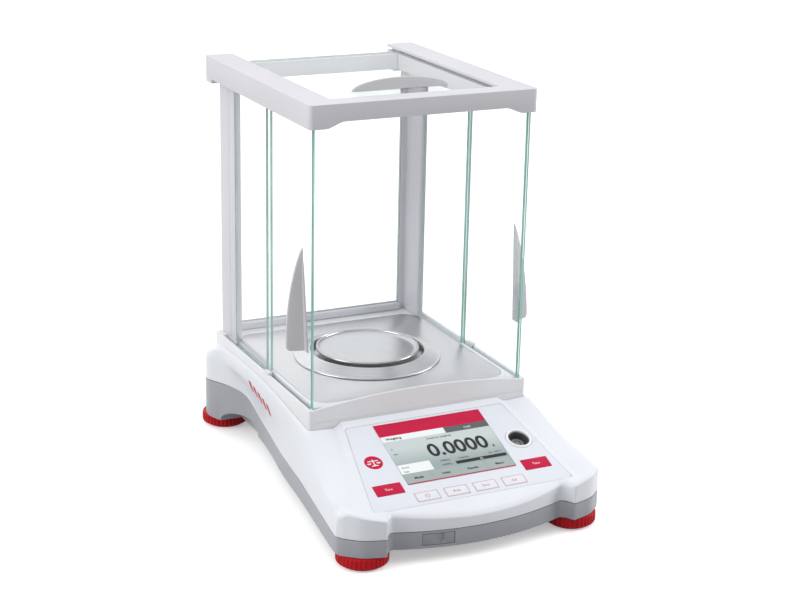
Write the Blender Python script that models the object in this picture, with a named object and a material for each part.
"""Analytical balance: a tilted console, a glass draft shield and a weighing pan.

Sizes are in millimetres and become metres where a mesh is made. X runs to the right, Y to the
rear and Z up. The ground is z = 0, and the origin is under the middle of the footprint.
"""
import math

import bmesh
import bpy
import mathutils

MM = 0.001
GAP = 0.3                      # clearance between neighbouring pieces

# ---- driving sizes -----------------------------------------------------------------------
CHAMBER_HALF = 95.4            # outer face of the sliding side panes, from the middle
CHAMBER_DEPTH = 216.0          # chin to the back of the rear posts
FLOOR_Z = 92.0                 # top of the chamber's base block
TOP_Z = 340.0                  # top of the cap
GLASS = 2.2                    # thickness of every pane
CAP_HEIGHT = 19.0
CAP_LIP = 4.5                  # how far the cap stands out past the side panes
CAP_BAR = 20.0                 # depth of the cap's front bar
CAP_RAIL = 24.9                # width of the cap's side rails
CAP_OVERHANG = 16.0            # rails reaching past the rear posts
BLOCK_LIP = 4.1                # how far the base block stands out past the side panes
DOOR_LENGTH = 95.8
DOOR_FRONT = 6.2               # behind the chin
PANE_OVERLAP = 2.0             # the sliding pane laps the fixed one by this much
POST_DEPTH = 34.7
POST_WALL = 5.9
FLOOR_PLATE = 1.0
PLATE_MARGIN = 6.6             # side panes' outer face to the floor plate's edge
PAN_RADIUS = 45.0
PAN_Z = 101.0
PAN_Y = 104.0                  # behind the chin
RING_RADIUS = 64.0
RING_GAP = 4.5                 # pan edge to the draft ring's lip
STEM_RADIUS = 4.6
CONSOLE_REACH = 118.0          # chin to the front of the console's bow
CONSOLE_TOP_Z = 77.5           # height of the console plane 5 mm in front of the chin
CONSOLE_SLOPE = 0.36
FOOT_RADIUS = 21.1
FOOT_HEIGHT = 11.6
FOOT_FRONT_Y = -90.5           # from the chin
FOOT_REAR_IN = 12.8            # rear feet in front of the rear wall
FOOT_IN = (2.2, 7.4)           # front and rear feet inside the side panes
STUD_RADIUS = 4.0
BODY_BOTTOM = 12.0
REAR_REACH = 20.0              # rear wall behind the posts
PROFILE_LENGTH = 236.0         # chin to rear wall for which the profile tables are drawn
DECK_Z = 72.2                  # pocket floor that the base block sits on
SHELL = 3.0
TOP_DOOR_Z = TOP_Z - 4.8       # underside of the top door's glass
TOP_DOOR_IN = 5.0              # how far the top door runs into the rails
FIN_DEPTH = 15.0               # side handles: reach, length, and top of the cap to their foot
FIN_LENGTH = 84.2
FIN_DROP = 201.9
FIN_IN = 9.7                   # door's front edge to the blade's foot
FIN_SLANT = 0.077              # rearward run of the blade's root for each mm of height
FIN_LEAN = 0.3                 # rearward lean for each mm away from the glass
BLADE = 2.6
TOP_HANDLE_RISE = 9.0
LUG = (13.0, 4.0)              # runner's clip, from the door's rear end
PANEL = 1.2                    # thickness of the keypad film and its carrier
DISPLAY = ((-48.4, 6.3), (48.4, 77.6))       # corners: across, and down the console's slope
KEY_DEPTH = 3.0
KEY_RISE = 0.3
LEVEL = (65.9, 47.9)
LEVEL_HOLE = 9.0
TARE = (24.0, 12.0)
SMALL = (20.4, 10.2)
CELL_TOP = 52.0
LEVER_TOP = 41.0
LEVER_Z = 37.0
LINK_ARM = 12.0                # lever pivot behind the pan's axis
COIL_ARM = 44.0
SOCKETS = [("power_inlet", -52, 12, 11), ("serial_port", 8, 31, 12.5), ("usb_port", 48, 12, 11)]
SOCKET_Z = 27.0

# ---- places worked out from them ---------------------------------------------------------
REAR_WALL = CHAMBER_DEPTH + REAR_REACH                       # behind the chin
STRETCH = REAR_WALL / PROFILE_LENGTH
FOOT_FRONT = (CHAMBER_HALF - FOOT_IN[0], FOOT_FRONT_Y)
FOOT_REAR = (CHAMBER_HALF - FOOT_IN[1], REAR_WALL - FOOT_REAR_IN)
CHIN = (CONSOLE_REACH - FOOT_REAR[1] - FOOT_RADIUS) / 2      # y of the chin
CAP_HALF = CHAMBER_HALF + CAP_LIP
BLOCK_HALF = CHAMBER_HALF + BLOCK_LIP
SLIDE_IN = CHAMBER_HALF - GLASS                              # inner face of the sliding panes
PANE_OUT = SLIDE_IN - 1.0                                    # outer face of the fixed panes
PANE_IN = PANE_OUT - GLASS
CAP_Z = TOP_Z - CAP_HEIGHT
POST_OUT = SLIDE_IN - 0.5
POST_FRONT = CHIN + CHAMBER_DEPTH - POST_DEPTH
DOOR_Y = CHIN + DOOR_FRONT
DOOR_END = DOOR_Y + DOOR_LENGTH
PANE_Y = DOOR_END - PANE_OVERLAP
REAR_Y = CHIN + CHAMBER_DEPTH
TROUGH_END = REAR_Y - 14.5
PAN_CENTRE = (0.0, CHIN + PAN_Y)
INNER_HALF = CHAMBER_HALF - 15.4                             # half-width of the inner hollow
SLOPE_COS = 1 / math.hypot(1, CONSOLE_SLOPE)
SLOPE_SIN = CONSOLE_SLOPE * SLOPE_COS


# ---- scene and mesh helpers --------------------------------------------------------------
def clear_scene():
    for obj in list(bpy.data.objects):
        bpy.data.objects.remove(obj, do_unlink=True)


def material(name, colour, roughness, metallic=0.0, alpha=1.0):
    mat = bpy.data.materials.new(name)
    mat.use_nodes = True
    shader = mat.node_tree.nodes["Principled BSDF"]
    shader.inputs["Base Color"].default_value = (*colour, 1.0)
    shader.inputs["Roughness"].default_value = roughness
    shader.inputs["Metallic"].default_value = metallic
    shader.inputs["Alpha"].default_value = alpha
    return mat


def make(name, points, faces, mat, smooth=None, triangles=False):
    """A mesh object from points in millimetres; smooth is the sharp-edge angle in degrees."""
    mesh = bpy.data.meshes.new(name)
    mesh.from_pydata([(x * MM, y * MM, z * MM) for x, y, z in points], [], faces)
    work = bmesh.new()
    work.from_mesh(mesh)
    if triangles:
        bmesh.ops.triangulate(work, faces=work.faces)
    bmesh.ops.recalc_face_normals(work, faces=work.faces)
    work.to_mesh(mesh)
    work.free()
    if smooth is not None:
        mesh.shade_smooth()
        mesh.set_sharp_from_angle(angle=math.radians(smooth))
    obj = bpy.data.objects.new(name, mesh)
    bpy.context.collection.objects.link(obj)
    if mat is not None:
        mesh.materials.append(mat)
    return obj


def pivot_at(obj, point):
    """Moves the object's origin to a point on its joint's axis; the mesh stays in place."""
    place = mathutils.Vector(point) * MM
    obj.data.transform(mathutils.Matrix.Translation(-place))
    obj.location = place


def boolean(obj, other, operation):
    other.hide_render = True
    other.display_type = "WIRE"
    modifier = obj.modifiers.new(operation.title(), "BOOLEAN")
    modifier.operation = operation
    modifier.solver = "EXACT"
    modifier.object = other


def cut(obj, *cutters):
    for cutter in cutters:
        boolean(obj, cutter, "DIFFERENCE")


def join(obj, *others):
    for other in others:
        boolean(obj, other, "UNION")


def extrude(name, outline, axis, low, high, mat=None, smooth=None):
    """Extrudes an outline along axis. It is (y, z) for X, (x, z) for Y and (x, y) for Z."""
    place = {
        "X": lambda a, b, t: (t, a, b),
        "Y": lambda a, b, t: (a, t, b),
        "Z": lambda a, b, t: (a, b, t),
    }[axis]
    count = len(outline)
    points = [place(a, b, low) for a, b in outline] + [place(a, b, high) for a, b in outline]
    faces = [list(range(count)), list(range(count, 2 * count))]
    faces += [(i, (i + 1) % count, count + (i + 1) % count, count + i) for i in range(count)]
    return make(name, points, faces, mat, smooth)


def box(name, low, high, mat=None):
    outline = [(low[0], low[1]), (high[0], low[1]), (high[0], high[1]), (low[0], high[1])]
    return extrude(name, outline, "Z", low[2], high[2], mat)


def rounded(low, high, radius, steps=5):
    """A rectangle's outline with round corners, anticlockwise."""
    centres = [(high[0] - radius, high[1] - radius, 0), (low[0] + radius, high[1] - radius, 90),
               (low[0] + radius, low[1] + radius, 180), (high[0] - radius, low[1] + radius, 270)]
    outline = []
    for x, y, start in centres:
        for i in range(steps + 1):
            angle = math.radians(start + 90 * i / steps)
            outline.append((x + radius * math.cos(angle), y + radius * math.sin(angle)))
    return outline


def turned(name, profile, centre, mat=None, segments=48, smooth=40):
    """Spins (radius, z) points about a vertical axis; a zero radius is a point on the axis."""
    points = []
    rings = []
    for radius, z in profile:
        if radius == 0:
            rings.append([len(points)] * segments)
            points.append((centre[0], centre[1], z))
            continue
        rings.append(list(range(len(points), len(points) + segments)))
        for i in range(segments):
            angle = 2 * math.pi * i / segments
            points.append((centre[0] + radius * math.cos(angle),
                           centre[1] + radius * math.sin(angle), z))
    faces = []
    closed = profile[0][0] != 0
    for k in range(len(rings) if closed else len(rings) - 1):
        lower = rings[k]
        upper = rings[(k + 1) % len(rings)]
        for i in range(segments):
            j = (i + 1) % segments
            corners = [lower[i], lower[j], upper[j], upper[i]]
            faces.append(list(dict.fromkeys(corners)))
    return make(name, points, faces, mat, smooth)


def cylinder(name, centre, radius, low, high, mat=None, segments=32):
    profile = [(0, low), (radius, low), (radius, high), (0, high)]
    return turned(name, profile, centre, mat, segments)


def mirrored(outline, side):
    return [(side * a, b) for a, b in outline]


def span(side, near, far):
    """The two x values of a piece on one side, low first."""
    return sorted((side * near, side * far))


def between(value, table):
    """Straight-line reading of a table of (key, value) pairs."""
    if value <= table[0][0]:
        return table[0][1]
    for (a, low), (b, high) in zip(table, table[1:]):
        if value <= b:
            return low + (high - low) * (value - a) / (b - a)
    return table[-1][1]


def console_z(y):
    """Height of the console plane at y."""
    return CONSOLE_TOP_Z + CONSOLE_SLOPE * (y - CHIN + 5)


def on_console(u, v, h):
    """A point u across, v down the slope from the console's top and h above its face."""
    y = CHIN - 5 - v * SLOPE_COS - h * SLOPE_SIN
    z = CONSOLE_TOP_Z - v * SLOPE_SIN + h * SLOPE_COS
    return (u, y, z)


def console_slab(name, outline, low, high, mat=None, smooth=None):
    """Extrudes a (u, v) outline square to the console's face."""
    count = len(outline)
    points = [on_console(u, v, low) for u, v in outline]
    points += [on_console(u, v, high) for u, v in outline]
    faces = [list(range(count)), list(range(count, 2 * count))]
    faces += [(i, (i + 1) % count, count + (i + 1) % count, count + i) for i in range(count)]
    return make(name, points, faces, mat, smooth)


def grown(low, high, margin):
    return (low[0] - margin, low[1] - margin), (high[0] + margin, high[1] + margin)


# ---- materials ---------------------------------------------------------------------------
def make_materials():
    return {
        "white": material("white_plastic", (0.83, 0.85, 0.88), 0.45),
        "grey": material("grey_plastic", (0.42, 0.42, 0.44), 0.5),
        "frame": material("frame_plastic", (0.74, 0.73, 0.77), 0.45),
        "glass": material("glass", (0.85, 0.95, 0.93), 0.05, alpha=0.25),
        "steel": material("brushed_steel", (0.70, 0.69, 0.71), 0.32, 1.0),
        "polished": material("polished_steel", (0.78, 0.78, 0.80), 0.15, 1.0),
        "crimson": material("crimson_key", (0.62, 0.02, 0.08), 0.4),
        "red": material("red_rubber", (0.66, 0.02, 0.03), 0.5),
        "panel": material("keypad_film", (0.78, 0.80, 0.86), 0.4),
        "screen": material("lcd_screen", (0.55, 0.63, 0.60), 0.2),
        "lens": material("display_lens", (0.80, 0.85, 0.84), 0.08, alpha=0.3),
        "vial": material("level_vial", (0.30, 0.30, 0.31), 0.15),
        "aluminium": material("cast_aluminium", (0.60, 0.61, 0.62), 0.5, 1.0),
        "dark": material("black_plastic", (0.04, 0.04, 0.045), 0.5),
        "brass": material("brass", (0.70, 0.52, 0.22), 0.3, 1.0),
        "board": material("circuit_board", (0.03, 0.20, 0.09), 0.5),
    }


# ---- housing -----------------------------------------------------------------------------
BOW = 14.0                     # how far the front wall is bowed
NOTCH_IN = 75.2                # where the front wall meets the notches
NOTCH_OUT = 83.0               # inner end of the wings' noses
NOTCH_BACK = CONSOLE_REACH - BOW


def stretched(table):
    """Fits a profile drawn for PROFILE_LENGTH behind the chin to the housing's own length."""
    return [(place * STRETCH if place > 0 else place, value) for place, value in table]


SEAM = [(-130, 26.0), (9, 28.6), (98, 30.6), (130, 32.5), (147, 36.0), (158, 42.5),
        (168, 46.8), (180, 48.6), (195, 48.6), (212, 47.0), (260, 44.0)]
# plan widths past the side panes, behind the chin: at the ground and at the shoulder
WIDTH = [(-92, 22.1), (-46, 15.6), (11, 7.6), (60, 2.6), (99, -4.4), (130, -8.6), (153, -10.4),
         (166, -7.6), (178, -1.4), (195, 6.6), (206, 10.8), (214, 12.8), (224, 11.6),
         (232, 6.6), (236, 0.6)]
SHOULDER = [(-92, 17.1), (-46, 12.1), (-5, 7.4), (10, 5.9), (195, 5.9), (206, 9.0), (214, 10.6),
            (224, 7.6), (232, 2.6), (236, -2.4)]
SHOULDER_Z = [(-92, 49.5), (-46, 56.0), (-5, 75.0), (11, 77.0), (39, 80.0), (57, 82.3),
              (77, 85.0), (103, 86.5), (150, 86.5), (190, 85.0), (206, 80.0), (214, 75.5),
              (224, 73.0), (232, 67.0), (236, 60.0)]
RIDGE_Z = [(-92, 46.0), (-46, 52.0), (25, 51.0), (99, 47.0), (140, 52.0), (168, 60.0),
           (206, 66.0), (236, 54.0)]
SEAM, WIDTH, SHOULDER, SHOULDER_Z, RIDGE_Z = [
    stretched(table) for table in (SEAM, WIDTH, SHOULDER, SHOULDER_Z, RIDGE_Z)]
FRONT_Z = [(NOTCH_IN, 42.0), (80, 42.5), (NOTCH_OUT, 43.5), (90, 44.8), (101, 47.0), (118, 48.5)]


def front_y(x):
    """The front wall in plan: bowed middle, notches, then the wings' noses and corners."""
    x = abs(x)
    corner = CHAMBER_HALF + between(-92, WIDTH)
    if x <= NOTCH_IN:
        return CHIN - CONSOLE_REACH + BOW * (x / NOTCH_IN) ** 2
    nose = [(NOTCH_IN, -NOTCH_BACK), (80, -NOTCH_BACK - 4), (NOTCH_OUT, -NOTCH_BACK - 10),
            (corner - 16, -NOTCH_BACK - 5), (corner - 8, -NOTCH_BACK + 2),
            (corner - 3, -NOTCH_BACK + 6.5), (corner, -92)]
    return CHIN + between(x, nose)


PORT_BACK = front_y(52) + 2.0             # depth of the front port's recess


def console_edge(y):
    """Half-width of the raised console: it splays towards the front."""
    return between(y - CHIN, [(-104, 89.0), (-11, 73.0), (0, 72.0)])


def front_columns():
    corner = CHAMBER_HALF + between(-92, WIDTH)
    return [15, 30, 45, 60, NOTCH_IN, 80, NOTCH_OUT, 88.5, 94.5, 103, corner - 6, corner - 3.5,
            corner - 1.2, corner]


def row_columns(y):
    """Column positions across one half of the upper housing at y, middle to ground line."""
    edge = console_edge(y)
    place = y - CHIN
    top = CHAMBER_HALF + between(place, SHOULDER)
    ground = CHAMBER_HALF + between(place, WIDTH)
    foot = edge + 6
    columns = [edge * f for f in (0.17, 0.34, 0.51, 0.68)]
    columns += [edge - 13.5, edge - 8.5, edge - 5.5, edge, foot, (foot + top) / 2, top]
    flare = max(top, ground)
    columns += [flare if place > 0 else (top + ground) / 2, (flare + 3 * ground) / 4, ground]
    return columns


def top_height(x, y, column):
    """Height of the upper housing's outer surface at a column of the grid."""
    place = y - CHIN
    rim = between(place, SHOULDER_Z)
    if column >= 13:
        return 20.0
    if column == 12:
        return between(place, RIDGE_Z)
    if column == 11:
        return min(rim - 4, DECK_Z - 2) if place > -5 else rim - 2.5
    if place > 0 or column == 10:
        return rim
    if column <= 7:
        return console_z(y)
    foot = console_z(y) - between(place, [(-100, 0.3), (-80, 1.5), (-46, 3.6), (-5, 4.6)])
    return foot if column == 8 else (foot + rim) / 2


def housing_rows():
    """Grid rows of half the upper housing: lists of (x, y, z), front to rear."""
    back = CHIN - 80
    rows = []
    for share, drop in ((0.0, None), (0.012, 2.2), (0.09, 0.0), (0.35, 0.0), (0.65, 0.0)):
        row = []
        columns = [0] + front_columns()
        straight = [0] + row_columns(back)
        for k, (x0, x1) in enumerate(zip(columns, straight)):
            x = x0 + (x1 - x0) * share
            y = front_y(x0) * (1 - share) + back * share
            if drop is None or k == 14:
                z = 20.0
            else:
                nose = min(1.0, share / 0.65)
                body = top_height(x, y, k - 1) if k else console_z(y)
                z = body
                if k >= 7:
                    z = between(x0, FRONT_Z) * (1 - nose) + body * nose
                if k == 12:
                    z = min(z, between(-92, SHOULDER_Z)) - 2.5
                if k == 13:
                    z = between(-92, RIDGE_Z) - 2
                z -= drop
            row.append((x, y, z))
        rows.append(row)
    places = [-80, -60, -35, -15, -4, -0.6]
    places += [place * STRETCH for place in (10, 40, 70, 99, 120, 135, 147, 158, 168, 178, 188,
                                             197, 206, 214)]
    places += [REAR_WALL - 14, REAR_WALL - 8, REAR_WALL - 4, REAR_WALL]
    for place in places:
        y = CHIN + place
        row = [(0, y, console_z(y) if place <= 0 else between(place, SHOULDER_Z))]
        row += [(x, y, top_height(x, y, k)) for k, x in enumerate(row_columns(y))]
        rows.append(row)
    rows.append([(x, y + 0.4, 20.0) for x, y, z in rows[-1]])
    return rows


def housing_loft(name, mat):
    """The upper housing's outer form as one closed sheet, flat underneath."""
    rows = [[(-x, y, z) for x, y, z in row[:0:-1]] + row for row in housing_rows()]
    width = len(rows[0])
    points = [point for row in rows for point in row]
    faces = []
    for r in range(len(rows) - 1):
        for c in range(width - 1):
            a = r * width + c
            faces.append((a, a + 1, a + width + 1, a + width))
    rim = list(range(width))
    rim += [r * width + width - 1 for r in range(1, len(rows))]
    rim += [(len(rows) - 1) * width + c for c in range(width - 2, -1, -1)]
    rim += [r * width for r in range(len(rows) - 2, 0, -1)]
    faces.append(rim)
    return make(name, points, faces, mat, 35, triangles=True)


def ground_outline():
    """The lower housing's outline in plan, anticlockwise from the front middle."""
    half = [(x, front_y(x)) for x in (15, 30, 45, 60, NOTCH_IN, 80, NOTCH_OUT, 92)]
    corner = CHAMBER_HALF + between(-92, WIDTH)
    half += [(x, front_y(x)) for x in (corner - 16, corner - 8, corner - 3, corner)]
    for place, width in WIDTH[1:]:
        half.append((CHAMBER_HALF + width, CHIN + place))
    return [(0, front_y(0))] + half + [(-x, y) for x, y in half[::-1]]


def seam_profile(offset, far_z):
    """Side profile (y, z) of everything on one side of the seam."""
    line = [(CHIN + place, z + offset) for place, z in SEAM]
    return line + [(line[-1][0], far_z), (line[0][0], far_z)]


def inner_profile(low, roof):
    """Side profile of the hollow inside both housings."""
    front = CHIN - CONSOLE_REACH + BOW + SHELL + 4
    return [(front, low), (CHIN + REAR_WALL - SHELL, low), (CHIN + REAR_WALL - SHELL, 52),
            (CHIN + REAR_WALL - 14, roof), (CHIN - 8, roof), (front, console_z(front) - 9)]


def foot_places():
    for label, (x, y) in (("front", FOOT_FRONT), ("rear", FOOT_REAR)):
        for side, hand in ((-1, "left"), (1, "right")):
            yield f"{label}_{hand}", (side * x, CHIN + y)


def cut_stud_holes(body, label):
    for foot, centre in foot_places():
        cut(body, cylinder(f"cut_{label}_stud_{foot}", centre, STUD_RADIUS + GAP, 0, 31.5,
                           segments=20))


def build_lower_housing(mats):
    body = extrude("lower_housing", ground_outline(), "Z", BODY_BOTTOM, 60, mats["grey"], 30)
    cut(body, extrude("cut_above_seam", seam_profile(-GAP / 2, 90), "X", -160, 160))
    cut(body, extrude("cut_lower_hollow", inner_profile(BODY_BOTTOM + SHELL, 80), "X",
                      -INNER_HALF, INNER_HALF))
    for side in (-1, 1):
        arch = [(CHIN + 172 * STRETCH + 25 * math.cos(a), BODY_BOTTOM + 12 * math.sin(a))
                for a in [math.radians(-20 + 220 * i / 12) for i in range(13)]]
        low, high = span(side, CHAMBER_HALF - 13.4, CHAMBER_HALF + 40)
        cut(body, extrude(f"cut_arch_{side}", arch, "X", low, high))
    cut_stud_holes(body, "lower")
    hook = cylinder("cut_hook_hatch", PAN_CENTRE, 14 + GAP, 0, BODY_BOTTOM + SHELL + 1)
    port = box("cut_front_port", (-52, CHIN - 125, 14.3), (-26, PORT_BACK, 24.6))
    cut(body, hook, port)
    for label, x, width, height in SOCKETS:
        low = (x - width / 2 - GAP, CHIN + REAR_WALL - 12, SOCKET_Z - height / 2 - GAP)
        high = (x + width / 2 + GAP, CHIN + REAR_WALL + 5, SOCKET_Z + height / 2 + GAP)
        cut(body, box(f"cut_{label}", low, high))
    return body


def build_upper_housing(mats):
    body = housing_loft("upper_housing", mats["white"])
    cut(body, extrude("cut_below_seam", seam_profile(GAP / 2, 0), "X", -160, 160))
    cut(body, extrude("cut_upper_hollow", inner_profile(15, DECK_Z - SHELL), "X",
                      -INNER_HALF, INNER_HALF))
    pocket = box("cut_pocket", (-BLOCK_HALF - GAP, CHIN - GAP, DECK_Z),
                 (BLOCK_HALF + GAP, REAR_Y + GAP, 120))
    cut(body, pocket, cylinder("cut_deck_hole", PAN_CENTRE, 14, 60, 80))
    cut_stud_holes(body, "upper")
    cut(body, console_slab("cut_panel", panel_outline(GAP), -PANEL - 0.2, 20))
    display = grown(*DISPLAY, GAP)
    cut(body, console_slab("cut_display", rounded(*display, 1.5), -14, 0))
    for name, low, high in KEYS:
        low, high = grown(low, high, GAP)
        cut(body, console_slab(f"cut_{name}", rounded(low, high, 0.8, 2), -KEY_DEPTH - 1.2, 0))
    cut(body, console_disc("cut_vial_well", LEVEL, LEVEL_HOLE + GAP, -8.3, 1))
    return body


# ---- chamber base ------------------------------------------------------------------------
def chin_outline():
    """The chin's front view: a low arch over the floor level."""
    half = CHAMBER_HALF
    top = [(half * t, FLOOR_Z + 7 * (1 - t * t)) for t in [1 - i / 8 for i in range(17)]]
    return [(-half, FLOOR_Z - 3), (half, FLOOR_Z - 3)] + top


def build_chamber_base(mats):
    low = (-BLOCK_HALF, CHIN)
    high = (BLOCK_HALF, REAR_Y)
    bottom = DECK_Z + GAP
    body = extrude("chamber_base", rounded(low, high, 2.5, 3), "Z", bottom, FLOOR_Z,
                   mats["white"], 30)
    join(body, extrude("add_chin_arch", chin_outline(), "Y", CHIN, CHIN + 2.3))
    cut(body, box("cut_block_hollow", (-CHAMBER_HALF + 12, CHIN + 12, 60),
                  (CHAMBER_HALF - 12, REAR_Y - 14, FLOOR_Z - 6.5)))
    cut(body, box("cut_front_slot", (-CHAMBER_HALF, CHIN + 2.3, FLOOR_Z - 4.3),
                  (CHAMBER_HALF, CHIN + 2.9 + GLASS, 110)))
    plate = rounded(*plate_corners(GAP), 16 + GAP)
    cut(body, extrude("cut_plate_recess", plate, "Z", FLOOR_Z - FLOOR_PLATE - GAP, 110))
    cut(body, cylinder("cut_stem_hole", PAN_CENTRE, 14, 60, 100))
    for side in (-1, 1):
        x0, x1 = span(side, SLIDE_IN - 0.8, CHAMBER_HALF + 0.8)
        cut(body, box(f"cut_trough_{side}", (x0, DOOR_Y - 0.4, FLOOR_Z - 5.3),
                      (x1, TROUGH_END, 110)))
        x0, x1 = span(side, PANE_IN - 0.3, SLIDE_IN)
        cut(body, box(f"cut_pane_slot_{side}", (x0, PANE_Y - 0.4, FLOOR_Z - 4.3),
                      (x1, POST_FRONT, 110)))
    return body


def plate_corners(margin):
    half = CHAMBER_HALF - PLATE_MARGIN + margin
    return (-half, CHIN + 12.3 - margin), (half, REAR_Y - 22 + margin)


def build_floor(mats):
    low, high = plate_corners(0)
    plate = extrude("floor_plate", rounded(low, high, 16, 6), "Z", FLOOR_Z - FLOOR_PLATE,
                    FLOOR_Z, mats["steel"], 30)
    cut(plate, cylinder("cut_plate_hole", PAN_CENTRE, 16, 80, 100))
    lip = PAN_RADIUS + RING_GAP
    base = FLOOR_Z + GAP
    profile = [(RING_RADIUS, base), (RING_RADIUS, base + 0.9), (lip + 1.6, base + 6.3),
               (lip, base + 6.3), (lip, base + 5.1), (lip + 1.2, base + 5.0),
               (RING_RADIUS - 2.2, base)]
    turned("draft_ring", profile, PAN_CENTRE, mats["steel"], 64)


def build_pan(mats):
    rim = PAN_RADIUS
    under = PAN_Z - 3.4
    profile = [(0, under - 1.6), (STEM_RADIUS + 0.5, under - 1.6), (STEM_RADIUS + 0.5, FLOOR_Z - 1),
               (9, FLOOR_Z - 1), (9, under - 0.2), (rim - 3.5, under), (rim - 0.8, under + 1.0),
               (rim, under + 2.2), (rim - 0.1, PAN_Z - 0.4), (rim - 0.9, PAN_Z),
               (rim - 1.7, PAN_Z - 0.5), (rim - 3.4, under + 1.4), (0, under + 1.2)]
    turned("weighing_pan", profile, PAN_CENTRE, mats["polished"], 64)
    stem = [(0, 62.3), (10, 62.3), (10, 66), (STEM_RADIUS + 1.5, 69), (STEM_RADIUS, 74),
            (STEM_RADIUS - 0.2, under - 2.2), (0, under - 2.2)]
    turned("pan_support", stem, PAN_CENTRE, mats["aluminium"], 32)


# ---- draft shield ------------------------------------------------------------------------
def build_front_glass(mats):
    box("front_glass", (-CHAMBER_HALF + GAP, CHIN + 2.6, FLOOR_Z - 4),
        (CHAMBER_HALF - GAP, CHIN + 2.6 + GLASS, CAP_Z + 8.5), mats["glass"])


def fin_outline(points=14):
    """A blade's outline (out from the glass, up from its foot): a curve up to the pointed tip."""
    corner = 3.5
    outline = [(0, 0)]
    for turn in (0, 30, 60):
        angle = math.radians(turn)
        outline.append((FIN_DEPTH - corner + corner * math.sin(angle),
                        corner * (1 - math.cos(angle))))
    for i in range(1, points + 1):
        share = i / points
        reach = FIN_DEPTH * math.sin(math.pi / 2 * (1 - share) ** 0.8)
        outline.append((reach, FIN_LENGTH * share))
    return outline


def leaned(obj, root, foot_z):
    """Leans a blade to the rear with the distance from its root and with its height."""
    for vertex in obj.data.vertices:
        vertex.co.y += FIN_LEAN * (abs(vertex.co.x) - root * MM)
        vertex.co.y += FIN_SLANT * (vertex.co.z - foot_z * MM)
    return obj


def build_side_door(mats, side, hand):
    x0, x1 = span(side, SLIDE_IN, CHAMBER_HALF)
    bottom = FLOOR_Z - 4
    box(f"door_glass_{hand}", (x0, DOOR_Y, bottom), (x1, DOOR_END, CAP_Z + 7), mats["glass"])
    root = CHAMBER_HALF + GAP
    foot_y = DOOR_Y + FIN_IN
    foot_z = TOP_Z - FIN_DROP
    outline = [(side * (root + d), foot_z + h) for d, h in fin_outline()]
    fin = extrude(f"door_handle_{hand}", outline, "Y", foot_y, foot_y + BLADE, mats["frame"], 40)
    leaned(fin, root, foot_z)
    pad_height = FIN_LENGTH * 0.86
    pad_y = foot_y + FIN_SLANT * pad_height
    pad = [(foot_y - 5.9, foot_z), (foot_y + 4.5, foot_z), (pad_y + BLADE, foot_z + pad_height),
           (pad_y - 0.8, foot_z + pad_height)]
    x0, x1 = span(side, root, root + 1.4)
    join(fin, extrude(f"add_pad_{hand}", pad, "X", x0, x1))
    runner_x = span(side, SLIDE_IN, CHAMBER_HALF)
    runner = box(f"door_runner_{hand}", (runner_x[0], DOOR_Y, FLOOR_Z - 5.0),
                 (runner_x[1], DOOR_END, bottom - GAP), mats["white"])
    lug_x = span(side, CHAMBER_HALF + GAP, CHAMBER_HALF + 3.6)
    riser_x = span(side, CHAMBER_HALF - 0.5, CHAMBER_HALF + 0.65)
    start, end = DOOR_END - LUG[0], DOOR_END - LUG[1]
    lug = box(f"add_lug_{hand}", (lug_x[0], start, FLOOR_Z + GAP),
              (lug_x[1], end, FLOOR_Z + 2.4))
    riser = box(f"add_riser_{hand}", (riser_x[0], start, FLOOR_Z - 5.0),
                (riser_x[1], end, bottom - GAP))
    link_x = span(side, CHAMBER_HALF + GAP, CHAMBER_HALF + 0.65)
    link = box(f"add_link_{hand}", (link_x[0], start, FLOOR_Z - 4.7), (link_x[1], end, FLOOR_Z + 1))
    join(runner, riser, link, lug)


def build_fixed_pane(mats, side, hand):
    x0, x1 = span(side, PANE_IN, PANE_OUT)
    box(f"rear_pane_{hand}", (x0, PANE_Y, FLOOR_Z - 4), (x1, POST_FRONT - GAP, CAP_Z + 7),
        mats["glass"])


def build_post(mats, side, hand):
    inner = POST_OUT - POST_WALL
    flange = inner - 5
    outline = [(inner, POST_FRONT), (POST_OUT, POST_FRONT), (POST_OUT, REAR_Y),
               (flange, REAR_Y), (flange, REAR_Y - 6), (inner, REAR_Y - 6)]
    extrude(f"rear_post_{hand}", mirrored(outline, side), "Z", FLOOR_Z + GAP, CAP_Z - GAP,
            mats["frame"])


def build_rear_wall(mats):
    half = POST_OUT - POST_WALL - 5 - GAP
    box("rear_bottom_bar", (-half, REAR_Y - 10, FLOOR_Z + GAP), (half, REAR_Y, FLOOR_Z + 6.5),
        mats["frame"])
    box("rear_top_bar", (-CAP_HALF + CAP_RAIL + GAP, REAR_Y - 8, CAP_Z),
        (CAP_HALF - CAP_RAIL - GAP, REAR_Y, TOP_DOOR_Z - 0.6), mats["white"])
    box("rear_glass", (-half, REAR_Y - 4.6, FLOOR_Z + 6.8), (half, REAR_Y - 4.6 + GLASS,
        CAP_Z - GAP), mats["glass"])


def cap_outline():
    """U-shaped plan of the cap: front bar and two rails, with round outer front corners."""
    inner = CAP_HALF - CAP_RAIL
    rear = REAR_Y + CAP_OVERHANG
    front = [(CAP_HALF - 4 + 4 * math.sin(a), CHIN + 4 - 4 * math.cos(a))
             for a in [math.radians(i * 22.5) for i in range(5)]]
    half = front + [(CAP_HALF, rear - 2), (CAP_HALF - 2, rear), (inner + 1, rear),
                    (inner, rear - 1), (inner, CHIN + CAP_BAR)]
    return half + [(-x, y) for x, y in half[::-1]]


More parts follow.
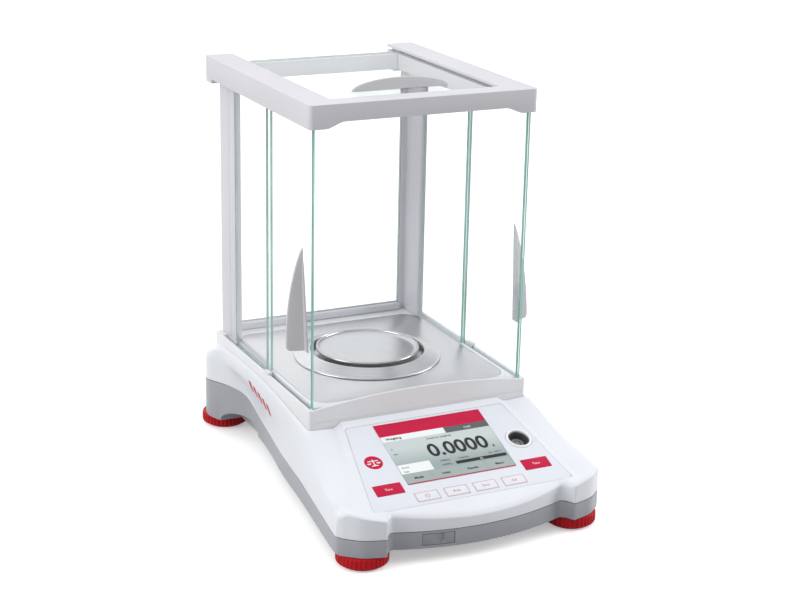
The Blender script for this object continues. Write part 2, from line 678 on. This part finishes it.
def build_cap(mats):
    cap = extrude("top_frame", cap_outline(), "Z", CAP_Z - 3.4, TOP_Z, mats["frame"], 30)
    far = CAP_HALF + 5
    cut(cap, box("cut_cap_under", (-far, CHIN - 5, CAP_Z - 10), (far, REAR_Y + GAP, CAP_Z)))
    arch = [(-87, CAP_Z - 5), (-87, CAP_Z + 0.2), (-80, CAP_Z + 2.6), (-70, CAP_Z + 5.0),
            (70, CAP_Z + 5.0), (80, CAP_Z + 2.6), (87, CAP_Z + 0.2), (87, CAP_Z - 5)]
    cut(cap, extrude("cut_cap_arch", arch, "Y", CHIN - 5, CHIN + CAP_BAR + 5))
    cut(cap, box("cut_front_groove", (-CHAMBER_HALF, CHIN + 2.3, CAP_Z - 10),
                 (CHAMBER_HALF, CHIN + 2.9 + GLASS, CAP_Z + 8.8)))
    for side in (-1, 1):
        x0, x1 = span(side, SLIDE_IN - 0.4, CHAMBER_HALF + 0.4)
        cut(cap, box(f"cut_slide_groove_{side}", (x0, DOOR_Y - 0.4, CAP_Z - 10),
                     (x1, TROUGH_END, CAP_Z + 7.6)))
        x0, x1 = span(side, PANE_IN - 0.3, SLIDE_IN)
        cut(cap, box(f"cut_pane_groove_{side}", (x0, PANE_Y - 0.4, CAP_Z - 10),
                     (x1, POST_FRONT, CAP_Z + 7.3)))
    slot = CAP_HALF - CAP_RAIL + TOP_DOOR_IN + GAP
    cut(cap, box("cut_top_slot", (-slot, CHIN + 15, TOP_DOOR_Z - 0.4),
                 (slot, REAR_Y + CAP_OVERHANG + 5, TOP_DOOR_Z + GLASS + 0.4)))
    return cap


def build_top_door(mats):
    half = CAP_HALF - CAP_RAIL + TOP_DOOR_IN
    front = CHIN + 15.3
    top = TOP_DOOR_Z + GLASS
    box("top_door_glass", (-half, front, TOP_DOOR_Z), (half, REAR_Y - 9, top), mats["glass"])
    reach = 43.0
    arc = [(reach * math.cos(a), top + GAP + TOP_HANDLE_RISE * math.sin(a) ** 1.1)
           for a in [math.pi * i / 20 for i in range(21)]]
    handle = extrude("top_door_handle", arc, "Y", CHIN + 48, CHIN + 48 + BLADE, mats["frame"], 40)
    for vertex in handle.data.vertices:
        vertex.co.y += FIN_LEAN * (vertex.co.z - top * MM)
    pad = [(reach * 0.96, CHIN + 48.2), (reach * 0.75, CHIN + 56), (-reach * 0.75, CHIN + 56),
           (-reach * 0.96, CHIN + 48.2)]
    join(handle, extrude("add_top_pad", pad, "Z", top + GAP, top + 1.7))


# ---- console -----------------------------------------------------------------------------
def key_table():
    keys = [("tare_key_left", (-77.9, 72.7)), ("tare_key_right", (77.9 - TARE[0], 72.7))]
    table = [(name, low, (low[0] + TARE[0], low[1] + TARE[1])) for name, low in keys]
    for k, name in enumerate(("power_key", "print_key", "zero_key", "cal_key")):
        left = -48.7 + k * (97.4 - SMALL[0]) / 3
        table.append((name, (left, 87.4), (left + SMALL[0], 87.4 + SMALL[1])))
    return table


KEYS = key_table()


def panel_outline(margin):
    """The console's inset panel: narrow by the chin, wide at the front, round corners."""
    top = 6.8 - 3 - margin
    bottom = 101.0 + margin
    left = 72.0 + margin
    right = 88.5 + margin
    return [(-left + 2, top), (left - 2, top), (left, top + 2), (right, bottom - 3),
            (right - 3, bottom), (-right + 3, bottom), (-right, bottom - 3), (-left, top + 2)]


def console_disc(name, centre, radius, low, high, mat=None, segments=32):
    outline = [(centre[0] + radius * math.cos(a), centre[1] + radius * math.sin(a))
               for a in [2 * math.pi * i / segments for i in range(segments)]]
    return console_slab(name, outline, low, high, mat, 40)


def build_console(mats):
    panel = console_slab("keypad_panel", panel_outline(0), -PANEL + 0.1, 0, mats["panel"])
    low, high = grown(*DISPLAY, GAP)
    cut(panel, console_slab("cut_window", rounded(low, high, 1.5), -5, 5))
    for name, low, high in KEYS:
        low, high = grown(low, high, GAP)
        cut(panel, console_slab(f"cut_panel_{name}", rounded(low, high, 0.8, 2), -5, 5))
    cut(panel, console_disc("cut_panel_level", LEVEL, LEVEL_HOLE + 2.3, -5, 5))
    for name, low, high in KEYS:
        mat = mats["crimson"] if name.startswith("tare") else mats["panel"]
        console_slab(name, rounded(low, high, 0.8, 2), KEY_RISE - KEY_DEPTH, KEY_RISE, mat)
    console_slab("display_lens", rounded(*DISPLAY, 1.2), -1.6, 0.1, mats["lens"])
    inset = grown(*DISPLAY, -1.5)
    console_slab("lcd_module", rounded(*inset, 1.0), -9.0, -1.9, mats["screen"])
    inset = grown(*DISPLAY, -4)
    console_slab("display_board", rounded(*inset, 1.0), -11.4, -9.6, mats["board"])


def build_level(mats):
    bezel = console_disc("level_bezel", LEVEL, LEVEL_HOLE + 2.0, -PANEL + 0.1, 0.9,
                         mats["polished"], 40)
    cut(bezel, console_disc("cut_bezel", LEVEL, LEVEL_HOLE, -9, 9, segments=40))
    console_disc("level_vial", LEVEL, LEVEL_HOLE - GAP, -8.0, -1.0, mats["vial"])


# ---- feet --------------------------------------------------------------------------------
def knurled(radius, teeth, depth):
    outline = []
    for i in range(teeth):
        for k, r in ((0.0, radius), (0.5, radius), (0.65, radius - depth), (0.85, radius - depth)):
            angle = 2 * math.pi * (i + k) / teeth
            outline.append((r * math.cos(angle), r * math.sin(angle)))
    return outline


def build_feet(mats):
    for label, centre in foot_places():
        outline = [(centre[0] + x, centre[1] + y) for x, y in knurled(FOOT_RADIUS, 36, 0.7)]
        wheel = extrude(f"foot_wheel_{label}", outline, "Z", 2.0, FOOT_HEIGHT, mats["red"])
        join(wheel, cylinder(f"add_pad_{label}", centre, FOOT_RADIUS - 3.5, 0, 3))
        cut(wheel, cylinder(f"cut_wheel_{label}", centre, STUD_RADIUS + 0.05, -1, 20,
                            segments=20))
        profile = [(0, 1.0), (STUD_RADIUS, 1.0), (STUD_RADIUS, 28), (STUD_RADIUS - 1, 29),
                   (0, 29)]
        turned(f"foot_stud_{label}", profile, centre, mats["brass"], 20)


# ---- inside ------------------------------------------------------------------------------
def build_inside(mats):
    floor = BODY_BOTTOM + SHELL
    x, y = PAN_CENTRE
    plate = box("chassis_plate", (-74, CHIN + 6, floor + GAP),
                (74, CHIN + REAR_WALL - 24, floor + 6), mats["aluminium"])
    cut(plate, cylinder("cut_plate_hook", PAN_CENTRE, 14, 0, 40))
    low_z = floor + 6 + GAP
    cell = box("weigh_cell", (-24, y - 26, low_z), (24, y + 66, CELL_TOP), mats["aluminium"])
    cut(cell, box("cut_cell_window", (-40, y - 14, 30), (40, y + 56, 45)))
    cut(cell, cylinder("cut_cell_link", PAN_CENTRE, 7, 40, 60))
    cut(cell, cylinder("cut_cell_coil", (x, y + COIL_ARM), 12, 40, 60))
    box("cell_lever", (-7, y - 6, 33), (7, y + 53, LEVER_TOP), mats["aluminium"])
    cylinder("force_coil", (x, y + COIL_ARM), 8, LEVER_TOP + GAP, 59, mats["brass"])
    carrier = box("pan_carrier", (-12, y - 10, CELL_TOP + 0.8), (12, y + 10, 62),
                  mats["aluminium"])
    join(carrier, cylinder("add_link", PAN_CENTRE, 5, LEVER_TOP + 0.4, 55))
    pot = cylinder("magnet_pot", (x, y + COIL_ARM), 21, CELL_TOP + GAP, 66, mats["dark"], 40)
    cut(pot, cylinder("cut_pot", (x, y + COIL_ARM), 12, 50, 62))
    box("calibration_weight", (30, y - 18, low_z + 6), (46, y + 18, low_z + 22), mats["brass"])
    box("calibration_drive", (50, y - 14, low_z), (70, y + 14, low_z + 26), mats["dark"])
    box("main_board", (-70, CHIN - 84, floor + 4), (70, CHIN - 4, floor + 5.6), mats["board"])
    for label, centre, width, height in SOCKETS:
        body = box(label, (centre - width / 2, CHIN + REAR_WALL - 11.7, SOCKET_Z - height / 2),
                   (centre + width / 2, CHIN + REAR_WALL + 0.4, SOCKET_Z + height / 2),
                   mats["dark"])
        low = (centre - width / 2 + 2, CHIN + REAR_WALL - 8, SOCKET_Z - height / 2 + 2)
        high = (centre + width / 2 - 2, CHIN + REAR_WALL + 3, SOCKET_Z + height / 2 - 2)
        cut(body, box(f"cut_mouth_{label}", low, high))
    back = PORT_BACK - GAP
    outline = [(x, front_y(x) + 0.3) for x in (-51.7, -43, -35, -26.3)]
    outline += [(-26.3, back), (-51.7, back)]
    extrude("front_port_cover", outline, "Z", 14.6, 24.3, mats["grey"])
    cylinder("hook_hatch", PAN_CENTRE, 14, BODY_BOTTOM, BODY_BOTTOM + SHELL, mats["grey"])


def set_origins():
    """Puts each moving piece's origin on its joint's axis."""
    x, y = PAN_CENTRE
    places = {
        "top_door_glass": (0, CHIN + 48, TOP_DOOR_Z),
        "top_door_handle": (0, CHIN + 48, TOP_DOOR_Z),
        "cell_lever": (x, y + LINK_ARM, LEVER_Z),
        "force_coil": (x, y + LINK_ARM, LEVER_Z),
    }
    for name in ("weighing_pan", "draft_ring", "pan_support", "pan_carrier"):
        places[name] = (x, y, FLOOR_Z)
    for side, hand in ((-1, "left"), (1, "right")):
        for piece in ("glass", "handle", "runner"):
            places[f"door_{piece}_{hand}"] = (side * (CHAMBER_HALF - GLASS / 2), DOOR_Y, FLOOR_Z)
    for name, low, high in KEYS:
        places[name] = on_console((low[0] + high[0]) / 2, (low[1] + high[1]) / 2, 0)
    for label, centre in foot_places():
        places[f"foot_wheel_{label}"] = (*centre, 0)
        places[f"foot_stud_{label}"] = (*centre, 0)
    for name, point in places.items():
        pivot_at(bpy.data.objects[name], point)


def main():
    clear_scene()
    mats = make_materials()
    build_lower_housing(mats)
    build_upper_housing(mats)
    build_chamber_base(mats)
    build_floor(mats)
    build_pan(mats)
    build_front_glass(mats)
    for side, hand in ((-1, "left"), (1, "right")):
        build_side_door(mats, side, hand)
        build_fixed_pane(mats, side, hand)
        build_post(mats, side, hand)
    build_rear_wall(mats)
    build_cap(mats)
    build_top_door(mats)
    build_console(mats)
    build_level(mats)
    build_feet(mats)
    build_inside(mats)
    set_origins()


main()
